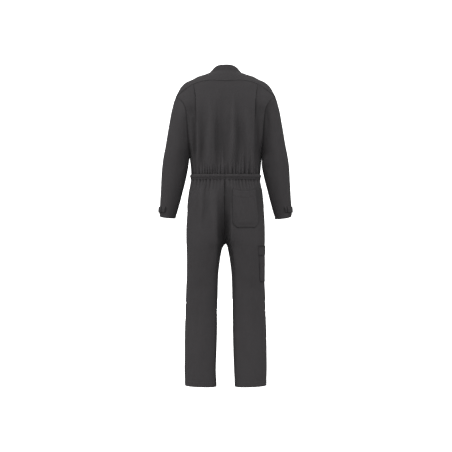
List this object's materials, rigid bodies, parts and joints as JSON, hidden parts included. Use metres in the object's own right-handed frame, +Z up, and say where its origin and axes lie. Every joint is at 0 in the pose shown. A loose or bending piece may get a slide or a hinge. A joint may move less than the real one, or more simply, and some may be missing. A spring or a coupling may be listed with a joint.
{
  "type": "boiler suit",
  "caption": "Long-sleeved one-piece work garment with stand collar, yoke, elastic back waist, covered front opening and patch pockets, hollow as if worn.",
  "frame": {"origin": "middle of the neck opening, level with the foot of the collar at its sides, where the wearer's neck and shoulders hold the garment", "axes": "+Z up along the body, -Y out of the front of the garment, +X to the wearer's left"},
  "size_m": [0.6698, 0.2725, 1.5931],
  "materials": {
    "cloth": "matte charcoal cotton-blend twill",
    "folded_cloth": "matte charcoal twill, two layers",
    "press_studs": "dark lacquered press-stud caps"
  },
  "bodies": {
    "root": {"collar": "folded_cloth", "yoke": "cloth", "back": "cloth", "front_left": "cloth", "sleeve_left": "cloth", "cuff_tab_left": "cloth", "front_right": "cloth", "sleeve_right": "cloth", "cuff_tab_right": "cloth", "waistband_back": "cloth", "waistband_front_left": "cloth", "waistband_front_right": "cloth", "trouser_back_left": "cloth", "trouser_front_left": "cloth", "trouser_back_right": "cloth", "trouser_front_right": "cloth", "back_pocket": "cloth", "thigh_pocket": "cloth", "thigh_flap": "cloth", "fly": "cloth", "press_stud_1": "press_studs", "press_stud_2": "press_studs", "press_stud_3": "press_studs", "press_stud_4": "press_studs", "press_stud_5": "press_studs", "press_stud_6": "press_studs", "press_stud_7": "press_studs", "press_stud_8": "press_studs"}
  },
  "joints": []
}
